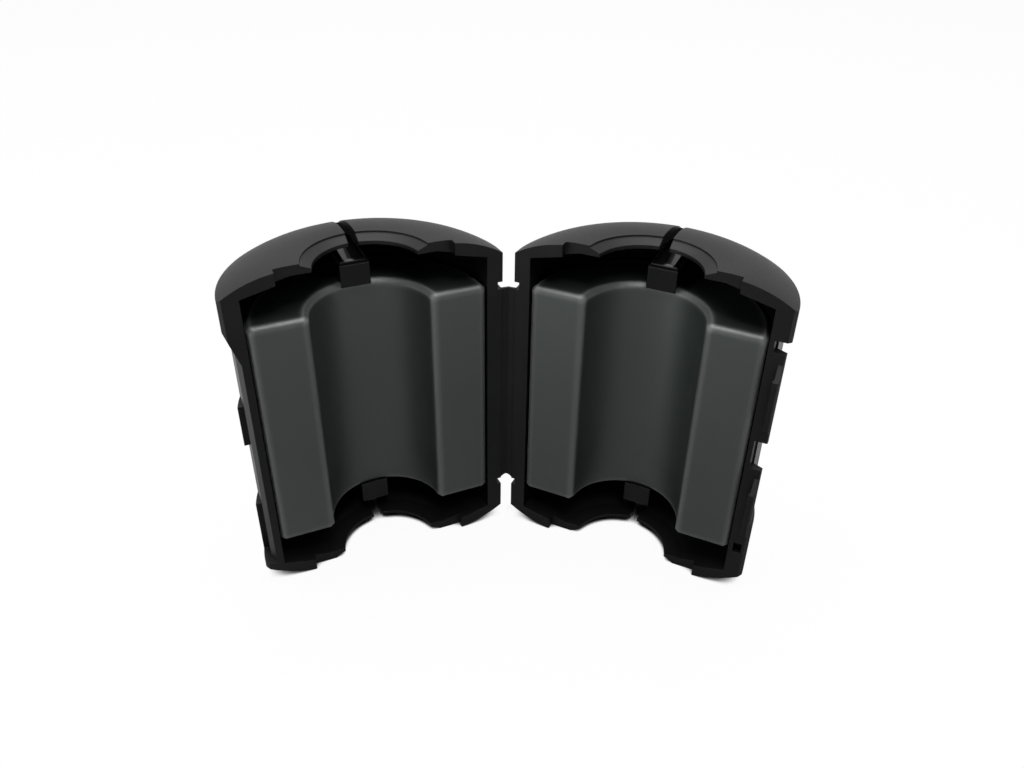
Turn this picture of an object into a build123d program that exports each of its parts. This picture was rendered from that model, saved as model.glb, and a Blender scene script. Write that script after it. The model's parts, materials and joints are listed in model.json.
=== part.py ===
from build123d import *
import os
from math import cos, radians, sin, sqrt

# Open clip-on ferrite bead: two half cores, each in one half of a hinged plastic case.
# It stands on one end, half open, with the hinge at the back and the free edges in front.
# Each half has a frame of its own, with the origin on its bore axis at mid-height,
# x across its parting plane, y into the half and z along the bore.
# All lengths are in millimetres and all angles in degrees.

# Ferrite core
ferrite_length = 28.0
ferrite_r = 12.8
bore_r = 6.5
ferrite_edge_r = 0.65
ferrite_end_bevel = 0.45
ferrite_fit = 0.1
seat_gap = 0.02

# Case walls and domed ends
case_height = 39.2
side_wall = 2.1
end_wall = 1.1
cable_r = 5.6
funnel_w = 1.1
funnel_drop = 0.7
ring_step = 0.2
crest_w = 1.0
dome_drop = 2.2
shoulder_bevel = 0.12
edge_bevel = 0.4
parting_gap = 0.02
setback_depth = 0.95
setback_half_w = 9.3
slit_w = 1.1
slit_run = 0.6
slit_end_wall = 0.6

# Retaining hooks over the ends of the ferrite
hook_w = 3.3
hook_h = 2.7
hook_front = 6.0
hook_round = 0.6
hook_lip_drop = 0.35
hook_lip_fit = 0.12
hook_root = 0.5

# Hinge
half_turn = 24.7
hinge_flat = 0.3
hinge_gap = 0.7
web_t = 0.4
web_length = 26.4
web_seat_gap = 0.03
notch_depth = 0.55
notch_h = 0.9

# Latch on the right half: two tongues between slots, each with a barbed rib
tongue_inset = 0.25
tongue_t = 0.6
tongue_root_t = 1.1
tongue_top = 12.6
tongue_bottom = 1.8
recess_foot = 9.8
recess_inset = 1.3
slot_h = 1.35
slot_mouth = 1.6
slot_lead = 0.1
blind_slot_depth = 1.0
rib_h = 1.4
rib_root = 0.4
rib_inset = 1.2
rib_tip_bevel = 0.15
barb_crest = 1.25
latch_fit = 0.05

# Catch along the free edge of the left half, with pockets between lands
edge_lead = 1.3
ridge_inset = 0.88
ridge_start = 1.0
ridge_end = 1.1
catch_inset = 1.06
pocket_inset = 0.95
strip_top = 11.1
strip_run = 2.9
strip_bottom = -16.8
land_back = 3.0
land_top = 3.4
land_bottom = -1.6
lower_land_top = -10.0

overrun = 2.0

# Radii and heights that follow from the sizes above
cavity_r = ferrite_r + ferrite_fit
case_r = cavity_r + side_wall
crest_z = case_height / 2
full_height = (-crest_z - overrun, crest_z + overrun)
ferrite_end = ferrite_length / 2
ring_r = cable_r + funnel_w
crest_r = ring_r + crest_w
shoulder_z = crest_z - dome_drop
shoulder_r = case_r - shoulder_bevel
dome_r = ((shoulder_r - crest_r) ** 2 + dome_drop**2) / (2 * dome_drop)
dome_center_z = crest_z - dome_r
cavity_z = dome_center_z + sqrt((dome_r - end_wall) ** 2 - (cavity_r - crest_r) ** 2)
hinge_face = case_r - hinge_flat
hinge_r = hinge_face + hinge_gap

# Across the latch, measured from the bore axis towards the free edge
tongue_out = case_r - tongue_inset
ridge_u = case_r - ridge_inset
catch_u = case_r - catch_inset
pocket_u = case_r - pocket_inset
slot_u = case_r - slot_mouth
recess_u = case_r - recess_inset
rib_in = ridge_u + latch_fit
rib_tip = tongue_out - rib_tip_bevel
barb_in = catch_u + latch_fit
beyond = case_r + overrun

# The hinge line stands so far back that the whole part is centred on the origin
turn_sin = sin(radians(half_turn))
turn_cos = cos(radians(half_turn))
back_reach = case_r - hinge_r * turn_sin
front_reach = (hinge_r + rib_tip) * turn_sin + rib_h * turn_cos
hinge_y = (front_reach - back_reach) / 2

axis_x = hinge_r * turn_cos
axis_y = hinge_y - hinge_r * turn_sin
right_half = Plane(origin=(axis_x, axis_y, crest_z), x_dir=(turn_cos, -turn_sin, 0), z_dir=(0, 0, 1))
left_half = Plane(origin=(-axis_x, axis_y, crest_z), x_dir=(turn_cos, turn_sin, 0), z_dir=(0, 0, 1))


def section_plane(half):
    """The parting plane of a half, for sketches in x and z."""
    return Plane(origin=half.origin, x_dir=half.x_dir, z_dir=-half.y_dir)


def middle_plane(half):
    """The plane through the middle of a half, for sketches in y and z."""
    return Plane(origin=half.origin, x_dir=half.y_dir, z_dir=half.x_dir)


def bar(half, x_span, y_span, z_span):
    """A straight bar between two places along each direction of a half's frame."""
    with BuildPart() as solid:
        with BuildSketch(half.offset(z_span[0])):
            with Locations((min(x_span), y_span[0])):
                Rectangle(abs(x_span[1] - x_span[0]), y_span[1] - y_span[0], align=Align.MIN)
        extrude(amount=z_span[1] - z_span[0])
    return solid.part


def edge_prism(half, points, z_span):
    """A prism between two heights, over an outline in x and y of a half's frame."""
    with BuildPart() as solid:
        with BuildSketch(half.offset(z_span[0])):
            with BuildLine():
                Polyline(*points, close=True)
            make_face()
        extrude(amount=z_span[1] - z_span[0])
    return solid.part


def retaining_hook(half):
    """The arm that reaches from the back wall over the ferrite's end, with a lip into its bore."""
    with BuildPart() as hook:
        with BuildSketch(middle_plane(half)):
            with Locations((hook_front, ferrite_end - hook_lip_drop)):
                Rectangle(cavity_r + hook_root - hook_front, hook_h + hook_lip_drop, align=Align.MIN)
        extrude(amount=hook_w / 2, both=True)
        top_edges = hook.edges().group_by(Axis.Z)[-1].sort_by(Axis(half.origin, half.y_dir))
        fillet(top_edges[:-1], hook_round)
        with BuildSketch(half.offset(ferrite_end - hook_lip_drop)):
            Circle(cavity_r)
            Circle(bore_r - hook_lip_fit, mode=Mode.SUBTRACT)
        extrude(amount=hook_lip_drop + seat_gap, mode=Mode.SUBTRACT)
    return hook.part


def half_case(half):
    """One half of the case: a side wall, two domed and slit ends, and a hook inside each end."""
    with BuildPart() as case:
        with BuildSketch(section_plane(half)):
            with BuildLine():
                TangentArc((crest_r, crest_z), (shoulder_r, shoulder_z), tangent=(1, 0))
                Polyline(
                    (crest_r, crest_z),
                    (ring_r, crest_z),
                    (ring_r, crest_z - ring_step),
                    (cable_r, crest_z - funnel_drop),
                    (cable_r, crest_z - end_wall),
                    (crest_r, crest_z - end_wall),
                    (cavity_r, cavity_z),
                    (cavity_r, 0),
                    (case_r, 0),
                    (case_r, shoulder_z - shoulder_bevel),
                    (shoulder_r, shoulder_z),
                )
            make_face()
        revolve(axis=Axis(half.origin, (0, 0, 1)), revolution_arc=180)
        above_ferrite = (ferrite_end, crest_z + overrun)
        setback = (-setback_half_w, setback_half_w)
        add(bar(half, setback, (-overrun, setback_depth), above_ferrite), mode=Mode.SUBTRACT)
        slit_z = (shoulder_z - slit_run, crest_z + overrun)
        slit = bar(half, (-slit_w / 2, slit_w / 2), (-overrun, case_r - slit_end_wall), slit_z)
        add(slit, mode=Mode.SUBTRACT)
        add(retaining_hook(half))
        mirror(about=half)
        split(bisect_by=Plane(half.origin, z_dir=half.y_dir).offset(parting_gap), keep=Keep.TOP)
    return case.part


def half_core(half):
    """One half of the ferrite: a half ring, bevelled at its ends, with rounded parting edges."""
    with BuildPart() as core:
        with BuildSketch(half.offset(-ferrite_end)):
            Circle(ferrite_r)
            Circle(bore_r, mode=Mode.SUBTRACT)
            with Locations((0, parting_gap)):
                Rectangle(2 * ferrite_r, ferrite_r, align=(Align.CENTER, Align.MIN), mode=Mode.INTERSECT)
        extrude(amount=ferrite_length)
        chamfer(core.edges().filter_by(GeomType.CIRCLE), ferrite_end_bevel)
        parting_faces = core.faces().sort_by(Axis(half.origin, half.y_dir))[:2]
        fillet(parting_faces.edges(), ferrite_edge_r)
    return core.part


def hinge_cuts(half, towards_hinge):
    """The flat along the hinge side of the wall, and a notch in it past each end of the web."""
    outside = towards_hinge * beyond
    y_span = (-overrun, case_r)
    web_end = web_length / 2
    flat = bar(half, (towards_hinge * hinge_face, outside), y_span, full_height)
    notch_x = (towards_hinge * (hinge_face - notch_depth), outside)
    top = bar(half, notch_x, y_span, (web_end, web_end + notch_h))
    bottom = bar(half, notch_x, y_span, (-web_end - notch_h, -web_end))
    return [flat, top, bottom]


def free_edge_bevel(half, towards_free):
    """A bevel along the outer corner of the free edge."""
    outline = [
        (towards_free * (case_r - edge_bevel), 0),
        (towards_free * beyond, 0),
        (towards_free * beyond, edge_bevel + overrun),
    ]
    return edge_prism(half, outline, full_height)


def tongue_recess(half, z_span):
    """What is taken off outside and behind the tongues, down to a flat along the wall."""
    outline = [
        (tongue_out, -overrun),
        (tongue_out, tongue_t),
        (recess_u, tongue_root_t),
        (recess_u, case_r),
        (beyond, case_r),
        (beyond, -overrun),
    ]
    return edge_prism(half, outline, z_span)


def slot(half, z_span):
    """A slot through the tongues, with a sloped lead on the wall behind it."""
    outline = [
        (slot_u, -overrun),
        (slot_u, 0),
        (slot_u + slot_lead, tongue_root_t),
        (beyond, tongue_root_t),
        (beyond, -overrun),
    ]
    return edge_prism(half, outline, z_span)


def snap_rib(half, low, high):
    """A rib that stands on a tongue, with sloped ends and a barb along its inner side."""
    outline = [
        (rib_in, rib_root),
        (rib_in, -ridge_end - latch_fit),
        (barb_in, -barb_crest),
        (rib_in, -rib_h),
        (rib_tip, -rib_h),
        (tongue_out, -rib_h + rib_tip_bevel),
        (tongue_out - rib_tip_bevel, rib_root),
    ]
    with BuildPart() as rib:
        add(edge_prism(half, outline, (low, high)))
        top = Plane(half.offset(high).origin, z_dir=half.z_dir - half.y_dir)
        split(bisect_by=top, keep=Keep.BOTTOM)
        bottom = Plane(half.offset(low).origin, z_dir=-half.z_dir - half.y_dir)
        split(bisect_by=bottom, keep=Keep.BOTTOM)
    return rib.part


def catch_cut(half):
    """What the catch takes off the free edge: a lead, a groove behind a ridge, and two pockets."""
    groove_back = rib_h + latch_fit
    outline = [
        (edge_lead - case_r, -overrun),
        (edge_lead - case_r, 0),
        (-ridge_u, ridge_start),
        (-ridge_u, ridge_end),
        (-catch_u, barb_crest),
        (-catch_u, groove_back),
        (-pocket_u, groove_back),
        (-pocket_u, land_back),
        (-beyond, land_back),
        (-beyond, -overrun),
    ]
    cut_top = strip_top + strip_run
    pocket_x = (-pocket_u, -beyond)
    pocket_y = (groove_back, case_r)
    with BuildPart() as cut:
        add(edge_prism(half, outline, (strip_bottom, cut_top)))
        add(bar(half, pocket_x, pocket_y, (land_top, cut_top)))
        add(bar(half, pocket_x, pocket_y, (lower_land_top, land_bottom)))
        foot = half.offset(strip_top).origin - half.x_dir * pocket_u
        slope = Plane(foot, z_dir=half.z_dir * pocket_inset + half.x_dir * strip_run)
        split(bisect_by=slope, keep=Keep.BOTTOM)
    return cut.part


# Right half of the case: latch tongues between slots along the free edge
with BuildPart() as right_shell:
    add(half_case(right_half))
    add(hinge_cuts(right_half, -1), mode=Mode.SUBTRACT)
    add(free_edge_bevel(right_half, 1), mode=Mode.SUBTRACT)
    slot_top = tongue_top + slot_h
    add(tongue_recess(right_half, (-recess_foot, slot_top)), mode=Mode.SUBTRACT)
    add(slot(right_half, (tongue_top, slot_top)), mode=Mode.SUBTRACT)
    add(slot(right_half, (-tongue_bottom, tongue_bottom)), mode=Mode.SUBTRACT)
    blind_x = (slot_u, tongue_out - edge_bevel)
    blind_y = (-overrun, blind_slot_depth)
    add(bar(right_half, blind_x, blind_y, (-slot_top, -tongue_top)), mode=Mode.SUBTRACT)
    add(snap_rib(right_half, tongue_bottom + rib_inset, tongue_top - rib_inset))
    add(snap_rib(right_half, rib_inset - tongue_top, -tongue_bottom - rib_inset))
right_shell.part.label = "right_shell"

# Left half of the case: the catch that the ribs snap over
with BuildPart() as left_shell:
    add(half_case(left_half))
    add(hinge_cuts(left_half, 1), mode=Mode.SUBTRACT)
    add(free_edge_bevel(left_half, -1), mode=Mode.SUBTRACT)
    add(catch_cut(left_half), mode=Mode.SUBTRACT)
left_shell.part.label = "left_shell"

with BuildPart() as right_ferrite:
    add(half_core(right_half))
right_ferrite.part.label = "right_ferrite"

with BuildPart() as left_ferrite:
    add(half_core(left_half))
left_ferrite.part.label = "left_ferrite"

# Web of the living hinge: a thin strip, folded at the hinge line between the two walls
with BuildPart() as hinge_web:
    reach = hinge_gap - web_seat_gap
    end_x = reach * turn_cos
    end_y = hinge_y - reach * turn_sin
    with BuildSketch(Plane.XY.offset(crest_z - web_length / 2)):
        with BuildLine():
            Polyline(
                (0, hinge_y),
                (end_x, end_y),
                (end_x + web_t * turn_sin, end_y + web_t * turn_cos),
                (0, hinge_y + web_t / turn_cos),
                (-end_x - web_t * turn_sin, end_y + web_t * turn_cos),
                (-end_x, end_y),
                close=True,
            )
        make_face()
    extrude(amount=web_length)
hinge_web.part.label = "hinge_web"

os.makedirs("parts", exist_ok=True)
export_step(right_shell.part, "parts/right_shell.step")
export_step(left_shell.part, "parts/left_shell.step")
export_step(right_ferrite.part, "parts/right_ferrite.step")
export_step(left_ferrite.part, "parts/left_ferrite.step")
export_step(hinge_web.part, "parts/hinge_web.step")
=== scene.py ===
import json
from math import cos, pi, radians, sin

import bpy
from mathutils import Matrix, Vector


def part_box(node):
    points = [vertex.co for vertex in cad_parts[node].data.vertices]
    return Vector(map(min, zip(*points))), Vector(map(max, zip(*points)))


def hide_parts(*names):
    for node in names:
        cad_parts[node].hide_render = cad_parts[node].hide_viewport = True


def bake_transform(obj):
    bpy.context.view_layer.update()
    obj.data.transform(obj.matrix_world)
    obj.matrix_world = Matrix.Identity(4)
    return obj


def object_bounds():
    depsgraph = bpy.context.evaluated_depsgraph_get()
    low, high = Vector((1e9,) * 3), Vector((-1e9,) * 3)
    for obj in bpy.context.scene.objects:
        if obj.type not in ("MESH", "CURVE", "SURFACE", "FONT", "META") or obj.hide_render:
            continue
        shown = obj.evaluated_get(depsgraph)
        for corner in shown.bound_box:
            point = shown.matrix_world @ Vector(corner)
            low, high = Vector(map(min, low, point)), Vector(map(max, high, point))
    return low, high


# Clip-on ferrite bead, standing half open on one end. Lengths are in metres unless a name ends in mm or px.
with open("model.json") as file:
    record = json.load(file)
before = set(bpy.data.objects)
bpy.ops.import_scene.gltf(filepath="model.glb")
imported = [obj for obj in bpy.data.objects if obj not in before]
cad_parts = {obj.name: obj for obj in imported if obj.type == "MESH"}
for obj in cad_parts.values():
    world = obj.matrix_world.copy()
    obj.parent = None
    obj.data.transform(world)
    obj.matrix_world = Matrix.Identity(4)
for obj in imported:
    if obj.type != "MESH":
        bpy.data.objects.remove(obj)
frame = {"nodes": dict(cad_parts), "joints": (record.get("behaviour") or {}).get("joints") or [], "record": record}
cad_low, cad_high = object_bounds()
nodes = frame["nodes"]
channels = {mount["name"]: Vector(mount["pos_m"]) for mount in frame["record"]["mounts"]}
mm = 0.001

# Camera, fitted to the photograph
photo_width_px = 1024
focal_px = 868.74
sensor_width_mm = 36.0
camera_offset = Vector((0.56, -85.77, 56.09)) * mm
camera_pitch = radians(32.87)
camera_roll = radians(0.94)
camera_near = 1 * mm

# Living hinge: how far its strip reaches to each wall and into it, its section, and where it bends
hinge_line = Vector(frame["joints"][0]["pos_m"])
half_turn = radians(24.7)
wall_reach = 0.70 * mm
web_sink = 0.20 * mm
web_recess = 0.15 * mm
web_t = 0.34 * mm
web_thin = 0.24 * mm
web_arch = 0.35 * mm
web_columns = 16
web_rows = 10

# Noise: the range that holds most of its values
noise_range = (0.3, 0.7)

# Case: black nylon, smooth on the faces inside a half, about its cable axis and the middle of its height
plastic_cloud = 6 * mm
plastic_shades = [(0.35, (0.0045, 0.0045, 0.0048)), (0.65, (0.0075, 0.0075, 0.0078))]
plastic_grain = 0.12 * mm
plastic_grain_detail = 2.0
plastic_relief = 0.006 * mm
plastic_relief_strength = 0.35
plastic_roughness = (0.40, 0.52)
plastic_specular = 0.34
plastic_edge_r = 0.12 * mm
inside_roughness = 0.12
inside_r = 12.9 * mm
inside_half_h = 17.2 * mm

# Cores: dark grey ferrite, lighter along its edges with a painted highlight
ferrite_cloud = 7 * mm
ferrite_shades = [(0.30, (0.009, 0.014, 0.012)), (0.70, (0.013, 0.018, 0.016))]
ferrite_edge_highlight = (0.15, 0.155, 0.15, 1)
ferrite_grain = 0.09 * mm
ferrite_grain_detail = 3.0
ferrite_grain_rough = 0.65
ferrite_relief = 0.008 * mm
ferrite_relief_strength = 0.4
ferrite_roughness = (0.40, 0.52)
ferrite_ior = 2.2
ferrite_tint = (0.93, 1, 0.97, 1)
ferrite_edge_r = 0.50 * mm
# Reach and range of the painted highlight along the ferrite's edges
edge_highlight_reach = 0.7 * mm
edge_highlight_range = (0.97, 0.86)

# Shader samples
edge_samples = 6
occlusion_samples = 16

# Light: a softbox overhead, weaker ones in front and on the left, and a world bright behind the part
top_place = Vector((-0.02, 0.02, 0.36))
top_width = 0.36
top_radiance = 2.6
front_place = Vector((0.04, -0.18, 0.32))
front_width = 0.07
front_radiance = 12.0
left_place = Vector((-0.36, -0.16, 0.14))
left_width = 0.26
left_radiance = 1.1
world_depths = (-0.55, 0.35)
world_strengths = (0.04, 0.74)
white = (1, 1, 1, 1)

# Floor: white to the camera; to the part, darker in front with a painted shade
floor_width = 4
painted_shade_spot = Vector((8, -66, 0)) * mm
painted_shade_radii = (46 * mm, 110 * mm)
floor_tones = (0.24, 0.95)
seen_paper = (0.9, 0.9, 0.9, 1)
seen_glow = 0.95
shadow_reach = 4 * mm
shadow_range = (0.28, 0.50)


def cleared_tree(owner, output_type):
    """The tree of a material or world, cleared but for its output, and the output's surface socket."""
    owner.use_nodes = True
    tree = owner.node_tree
    tree.nodes.clear()
    output = tree.nodes.new(output_type)
    return tree, output.inputs["Surface"]


def principled(name):
    """A new material, its tree and its Principled shader."""
    material = bpy.data.materials.new(name)
    tree, surface = cleared_tree(material, "ShaderNodeOutputMaterial")
    shader = tree.nodes.new("ShaderNodeBsdfPrincipled")
    tree.links.new(shader.outputs["BSDF"], surface)
    return material, tree, shader


def noise(tree, size, detail=3.0, rough=0.5):
    """Noise over the object's own coordinates, with lumps of about that size in metres."""
    place = tree.nodes.new("ShaderNodeTexCoord")
    texture = tree.nodes.new("ShaderNodeTexNoise")
    texture.inputs["Scale"].default_value = 1 / size
    texture.inputs["Detail"].default_value = detail
    texture.inputs["Roughness"].default_value = rough
    tree.links.new(place.outputs["Object"], texture.inputs["Vector"])
    return texture.outputs["Fac"]


def ramp(tree, value, shades):
    """A colour ramp over a value, between two (position, colour) shades."""
    node = tree.nodes.new("ShaderNodeValToRGB")
    for element, (position, colour) in zip(node.color_ramp.elements, shades):
        element.position = position
        element.color = (*colour, 1)
    tree.links.new(value, node.inputs["Fac"])
    return node.outputs["Color"]


def carried(tree, value, source, target=(0, 1)):
    """A value whose source range is carried over to a target range."""
    node = tree.nodes.new("ShaderNodeMapRange")
    for name, limit in zip(("From Min", "From Max", "To Min", "To Max"), (*source, *target)):
        node.inputs[name].default_value = limit
    tree.links.new(value, node.inputs["Value"])
    return node.outputs["Result"]


def mixed(tree, kind, factor, first, second):
    """A mix from an output to a fixed number or colour, by a factor."""
    node = tree.nodes.new("ShaderNodeMix")
    node.data_type = kind
    node.inputs["B"].default_value = second
    tree.links.new(factor, node.inputs["Factor"])
    tree.links.new(first, node.inputs["A"])
    return node.outputs["Result"]


def math_node(tree, operation, *values):
    """A Math node over numbers and the outputs of other nodes."""
    node = tree.nodes.new("ShaderNodeMath")
    node.operation = operation
    for socket, value in zip(node.inputs, values):
        if isinstance(value, float):
            socket.default_value = value
        else:
            tree.links.new(value, socket)
    return node.outputs["Value"]


def distance_to(tree, place, point):
    """How far a place lies from a fixed point."""
    node = tree.nodes.new("ShaderNodeVectorMath")
    node.operation = "DISTANCE"
    node.inputs[1].default_value = point
    tree.links.new(place, node.inputs[0])
    return node.outputs["Value"]


def openness(tree, reach, inside=False):
    """How open the space is within reach of a surface, or how deep its own solid is behind it."""
    node = tree.nodes.new("ShaderNodeAmbientOcclusion")
    node.samples = occlusion_samples
    node.inside = inside
    node.only_local = inside
    node.inputs["Distance"].default_value = reach
    return node.outputs["AO"]


def relief(tree, shader, edge_r, height, depth, strength):
    """Rounded edges under a fine relief."""
    edge = tree.nodes.new("ShaderNodeBevel")
    edge.samples = edge_samples
    edge.inputs["Radius"].default_value = edge_r
    bump = tree.nodes.new("ShaderNodeBump")
    bump.inputs["Distance"].default_value = depth
    bump.inputs["Strength"].default_value = strength
    tree.links.new(height, bump.inputs["Height"])
    tree.links.new(edge.outputs["Normal"], bump.inputs["Normal"])
    tree.links.new(bump.outputs["Normal"], shader.inputs["Normal"])


def painted_edge_highlight(tree):
    """Mask of a painted highlight: from 0 on broad faces to 1 on outer edges, where little solid lies behind the
    surface.
    """
    return carried(tree, openness(tree, edge_highlight_reach, inside=True), edge_highlight_range)


def smooth_inside(tree, axis):
    """1 on the faces inside a half, and 0 on its textured outside."""
    place = tree.nodes.new("ShaderNodeTexCoord")
    parts = tree.nodes.new("ShaderNodeSeparateXYZ")
    plan = tree.nodes.new("ShaderNodeCombineXYZ")
    tree.links.new(place.outputs["Object"], parts.inputs["Vector"])
    tree.links.new(parts.outputs["X"], plan.inputs["X"])
    tree.links.new(parts.outputs["Y"], plan.inputs["Y"])
    away = distance_to(tree, plan.outputs["Vector"], (axis.x, axis.y, 0))
    near = math_node(tree, "LESS_THAN", away, inside_r)
    level = math_node(tree, "COMPARE", parts.outputs["Z"], hinge_line.z, inside_half_h)
    return math_node(tree, "MULTIPLY", near, level)


def moulded_plastic(name, axis):
    """Black nylon: the fine matt texture of its mould outside, smooth inside."""
    material, tree, shader = principled(name)
    cloud = noise(tree, plastic_cloud)
    grain = noise(tree, plastic_grain, plastic_grain_detail)
    tree.links.new(ramp(tree, cloud, plastic_shades), shader.inputs["Base Color"])
    matt = carried(tree, grain, noise_range, plastic_roughness)
    rough = mixed(tree, "FLOAT", smooth_inside(tree, axis), matt, inside_roughness)
    tree.links.new(rough, shader.inputs["Roughness"])
    shader.inputs["Specular IOR Level"].default_value = plastic_specular
    relief(tree, shader, plastic_edge_r, grain, plastic_relief, plastic_relief_strength)
    return material


def sintered_ferrite():
    """Dark grey ferrite: dull, with a fine grain, and a painted highlight lightening its edges."""
    material, tree, shader = principled("sintered_ferrite")
    cloud = noise(tree, ferrite_cloud)
    grain = noise(tree, ferrite_grain, ferrite_grain_detail, ferrite_grain_rough)
    # The edges are lightened by a painted highlight colour.
    colour = mixed(tree, "RGBA", painted_edge_highlight(tree), ramp(tree, cloud, ferrite_shades), ferrite_edge_highlight)
    tree.links.new(colour, shader.inputs["Base Color"])
    tree.links.new(carried(tree, grain, noise_range, ferrite_roughness), shader.inputs["Roughness"])
    shader.inputs["IOR"].default_value = ferrite_ior
    shader.inputs["Specular Tint"].default_value = ferrite_tint
    relief(tree, shader, ferrite_edge_r, grain, ferrite_relief, ferrite_relief_strength)
    return material


def dress(node, material):
    """Gives a CAD node its material."""
    for slot in nodes[node].material_slots:
        slot.material = material


def strip_section():
    """The strip's front and back lines in plan, and the rise of its lower edge at each point."""
    reach = wall_reach + web_sink
    front, back, rises = [], [], []
    for column in range(web_columns + 1):
        across = 2 * column / web_columns - 1
        side = 1 if across >= 0 else -1
        out = Vector((side * cos(half_turn), -sin(half_turn), 0))
        into = Vector((side * sin(half_turn), cos(half_turn), 0))
        if across == 0:
            into = Vector((0, 1 / cos(half_turn), 0))
        thick = web_thin + (web_t - web_thin) * abs(across)
        foot = hinge_line + out * (abs(across) * reach)
        front.append(foot + into * web_recess)
        back.append(foot + into * (web_recess + thick))
        inside = min(abs(across) * reach / wall_reach, 1)
        rises.append(web_arch * (1 - inside**2))
    return front, back, rises


def strip_faces():
    """Faces of the closed strip, whose vertices run in rows: a front line, then a back line."""
    count = web_columns + 1
    ring = 2 * count
    faces = []
    for row in range(web_rows):
        for column in range(web_columns):
            here = row * ring + column
            above = here + ring
            faces.append((here, here + 1, above + 1, above))
            faces.append((here + count + 1, here + count, above + count, above + count + 1))
        for column in (0, web_columns):
            here = row * ring + column
            above = here + ring
            side = (here, above, above + count, here + count)
            faces.append(side if column == 0 else side[::-1])
    for row in (0, web_rows):
        for column in range(web_columns):
            here = row * ring + column
            end = (here, here + count, here + count + 1, here + 1)
            faces.append(end if row == 0 else end[::-1])
    return faces


def hinge_strip(material):
    """The living hinge: a thin strip, thinnest at the fold, sunk a little into both walls."""
    web_low, web_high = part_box("hinge_web")
    front, back, rises = strip_section()
    vertices = []
    for row in range(web_rows + 1):
        share = row / web_rows
        for line in (front, back):
            for point, rise in zip(line, rises):
                low = web_low.z + rise
                vertices.append((point.x, point.y, low + (web_high.z - low) * share))
    mesh = bpy.data.meshes.new("hinge_strip")
    mesh.from_pydata(vertices, [], strip_faces())
    mesh.update()
    mesh.materials.append(material)
    strip = bpy.data.objects.new("hinge_strip", mesh)
    bpy.context.scene.collection.objects.link(strip)
    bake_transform(strip)
    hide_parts("hinge_web")


def for_camera(tree, seen, otherwise):
    """One shader for what the camera sees, and another for the light on the part."""
    rays = tree.nodes.new("ShaderNodeLightPath")
    pick = tree.nodes.new("ShaderNodeMixShader")
    tree.links.new(rays.outputs["Is Camera Ray"], pick.inputs["Fac"])
    tree.links.new(otherwise, pick.inputs[1])
    tree.links.new(seen, pick.inputs[2])
    return pick.outputs["Shader"]


def seen_floor(tree):
    """White paper, but for a soft shadow close under the part."""
    paper = tree.nodes.new("ShaderNodeBsdfDiffuse")
    paper.inputs["Color"].default_value = seen_paper
    glow = tree.nodes.new("ShaderNodeEmission")
    tree.links.new(carried(tree, openness(tree, shadow_reach), shadow_range), glow.inputs["Strength"])
    both = tree.nodes.new("ShaderNodeMixShader")
    both.inputs["Fac"].default_value = seen_glow
    tree.links.new(paper.outputs["BSDF"], both.inputs[1])
    tree.links.new(glow.outputs["Emission"], both.inputs[2])
    return both.outputs["Shader"]


def lit_floor(tree):
    """Pale paper with a painted shade: darker around a spot in front of the part."""
    place = tree.nodes.new("ShaderNodeTexCoord")
    away = distance_to(tree, place.outputs["Object"], painted_shade_spot)
    paper = tree.nodes.new("ShaderNodeBsdfDiffuse")
    tree.links.new(carried(tree, away, painted_shade_radii, floor_tones), paper.inputs["Color"])
    return paper.outputs["BSDF"]


def pale_floor():
    """The floor that the part stands on."""
    bpy.ops.mesh.primitive_plane_add(size=floor_width, location=(0, 0, cad_low.z))
    floor = bpy.context.object
    floor.name = "floor"
    material = bpy.data.materials.new("pale_floor")
    tree, surface = cleared_tree(material, "ShaderNodeOutputMaterial")
    tree.links.new(for_camera(tree, seen_floor(tree), lit_floor(tree)), surface)
    floor.data.materials.append(material)


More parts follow.
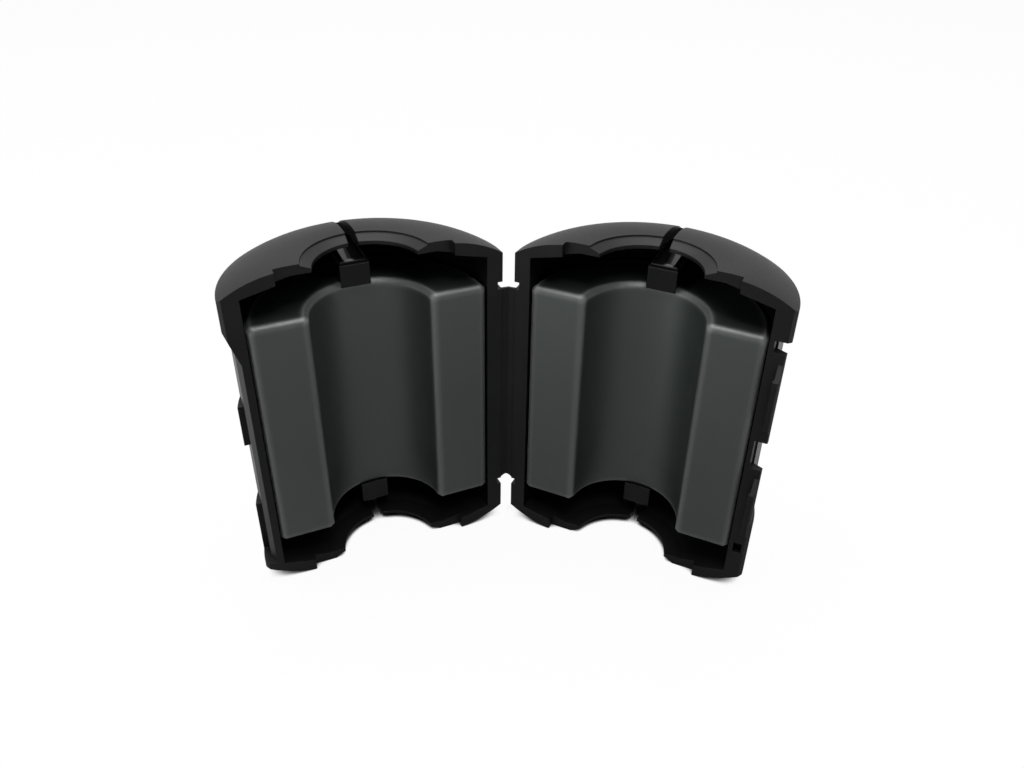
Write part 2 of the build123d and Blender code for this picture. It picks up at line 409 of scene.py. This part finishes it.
def white_world():
    """White to the camera; to the part, a soft grey that is bright behind and dark in front."""
    world = bpy.data.worlds.new("studio")
    bpy.context.scene.world = world
    tree, surface = cleared_tree(world, "ShaderNodeOutputWorld")
    place = tree.nodes.new("ShaderNodeTexCoord")
    parts = tree.nodes.new("ShaderNodeSeparateXYZ")
    soft = tree.nodes.new("ShaderNodeBackground")
    soft.inputs["Color"].default_value = white
    plain = tree.nodes.new("ShaderNodeBackground")
    plain.inputs["Color"].default_value = white
    tree.links.new(place.outputs["Generated"], parts.inputs["Vector"])
    strength = carried(tree, parts.outputs["Y"], world_depths, world_strengths)
    tree.links.new(strength, soft.inputs["Strength"])
    sky = for_camera(tree, plain.outputs["Background"], soft.outputs["Background"])
    tree.links.new(sky, surface)


def softbox(name, place, width, radiance):
    """A square soft light of a given brightness, aimed at the middle of the part."""
    lamp = bpy.data.lights.new(name, "AREA")
    lamp.shape = "SQUARE"
    lamp.size = width
    lamp.energy = radiance * width**2 * pi
    light = bpy.data.objects.new(name, lamp)
    light.location = place
    light.rotation_mode = "QUATERNION"
    middle = (cad_low + cad_high) / 2
    light.rotation_quaternion = (middle - place).to_track_quat("-Z", "Y")
    bpy.context.scene.collection.objects.link(light)


def fitted_camera():
    """The photograph's camera: above the open side, looking down at the hinge."""
    ahead = Vector((0, cos(camera_pitch), -sin(camera_pitch)))
    up = Vector((0, sin(camera_pitch), cos(camera_pitch)))
    right = Vector((1, 0, 0))
    tilted_right = right * cos(camera_roll) + up * sin(camera_roll)
    tilted_up = up * cos(camera_roll) - right * sin(camera_roll)
    data = bpy.data.cameras.new("camera")
    data.sensor_width = sensor_width_mm
    data.lens = focal_px / photo_width_px * sensor_width_mm
    data.clip_start = camera_near
    camera = bpy.data.objects.new("camera", data)
    turn = Matrix((tilted_right, tilted_up, -ahead)).transposed().to_4x4()
    camera.matrix_world = Matrix.Translation(hinge_line + camera_offset) @ turn
    bpy.context.scene.collection.objects.link(camera)
    bpy.context.scene.camera = camera


ferrite = sintered_ferrite()
for side in ("left", "right"):
    plastic = moulded_plastic(f"{side}_case_plastic", channels[f"{side}_cable_channel"])
    dress(f"{side}_shell", plastic)
    dress(f"{side}_ferrite", ferrite)
hinge_strip(plastic)

pale_floor()
white_world()
softbox("top_light", top_place, top_width, top_radiance)
softbox("front_light", front_place, front_width, front_radiance)
softbox("left_light", left_place, left_width, left_radiance)
fitted_camera()
bpy.context.scene.view_settings.view_transform = "Standard"
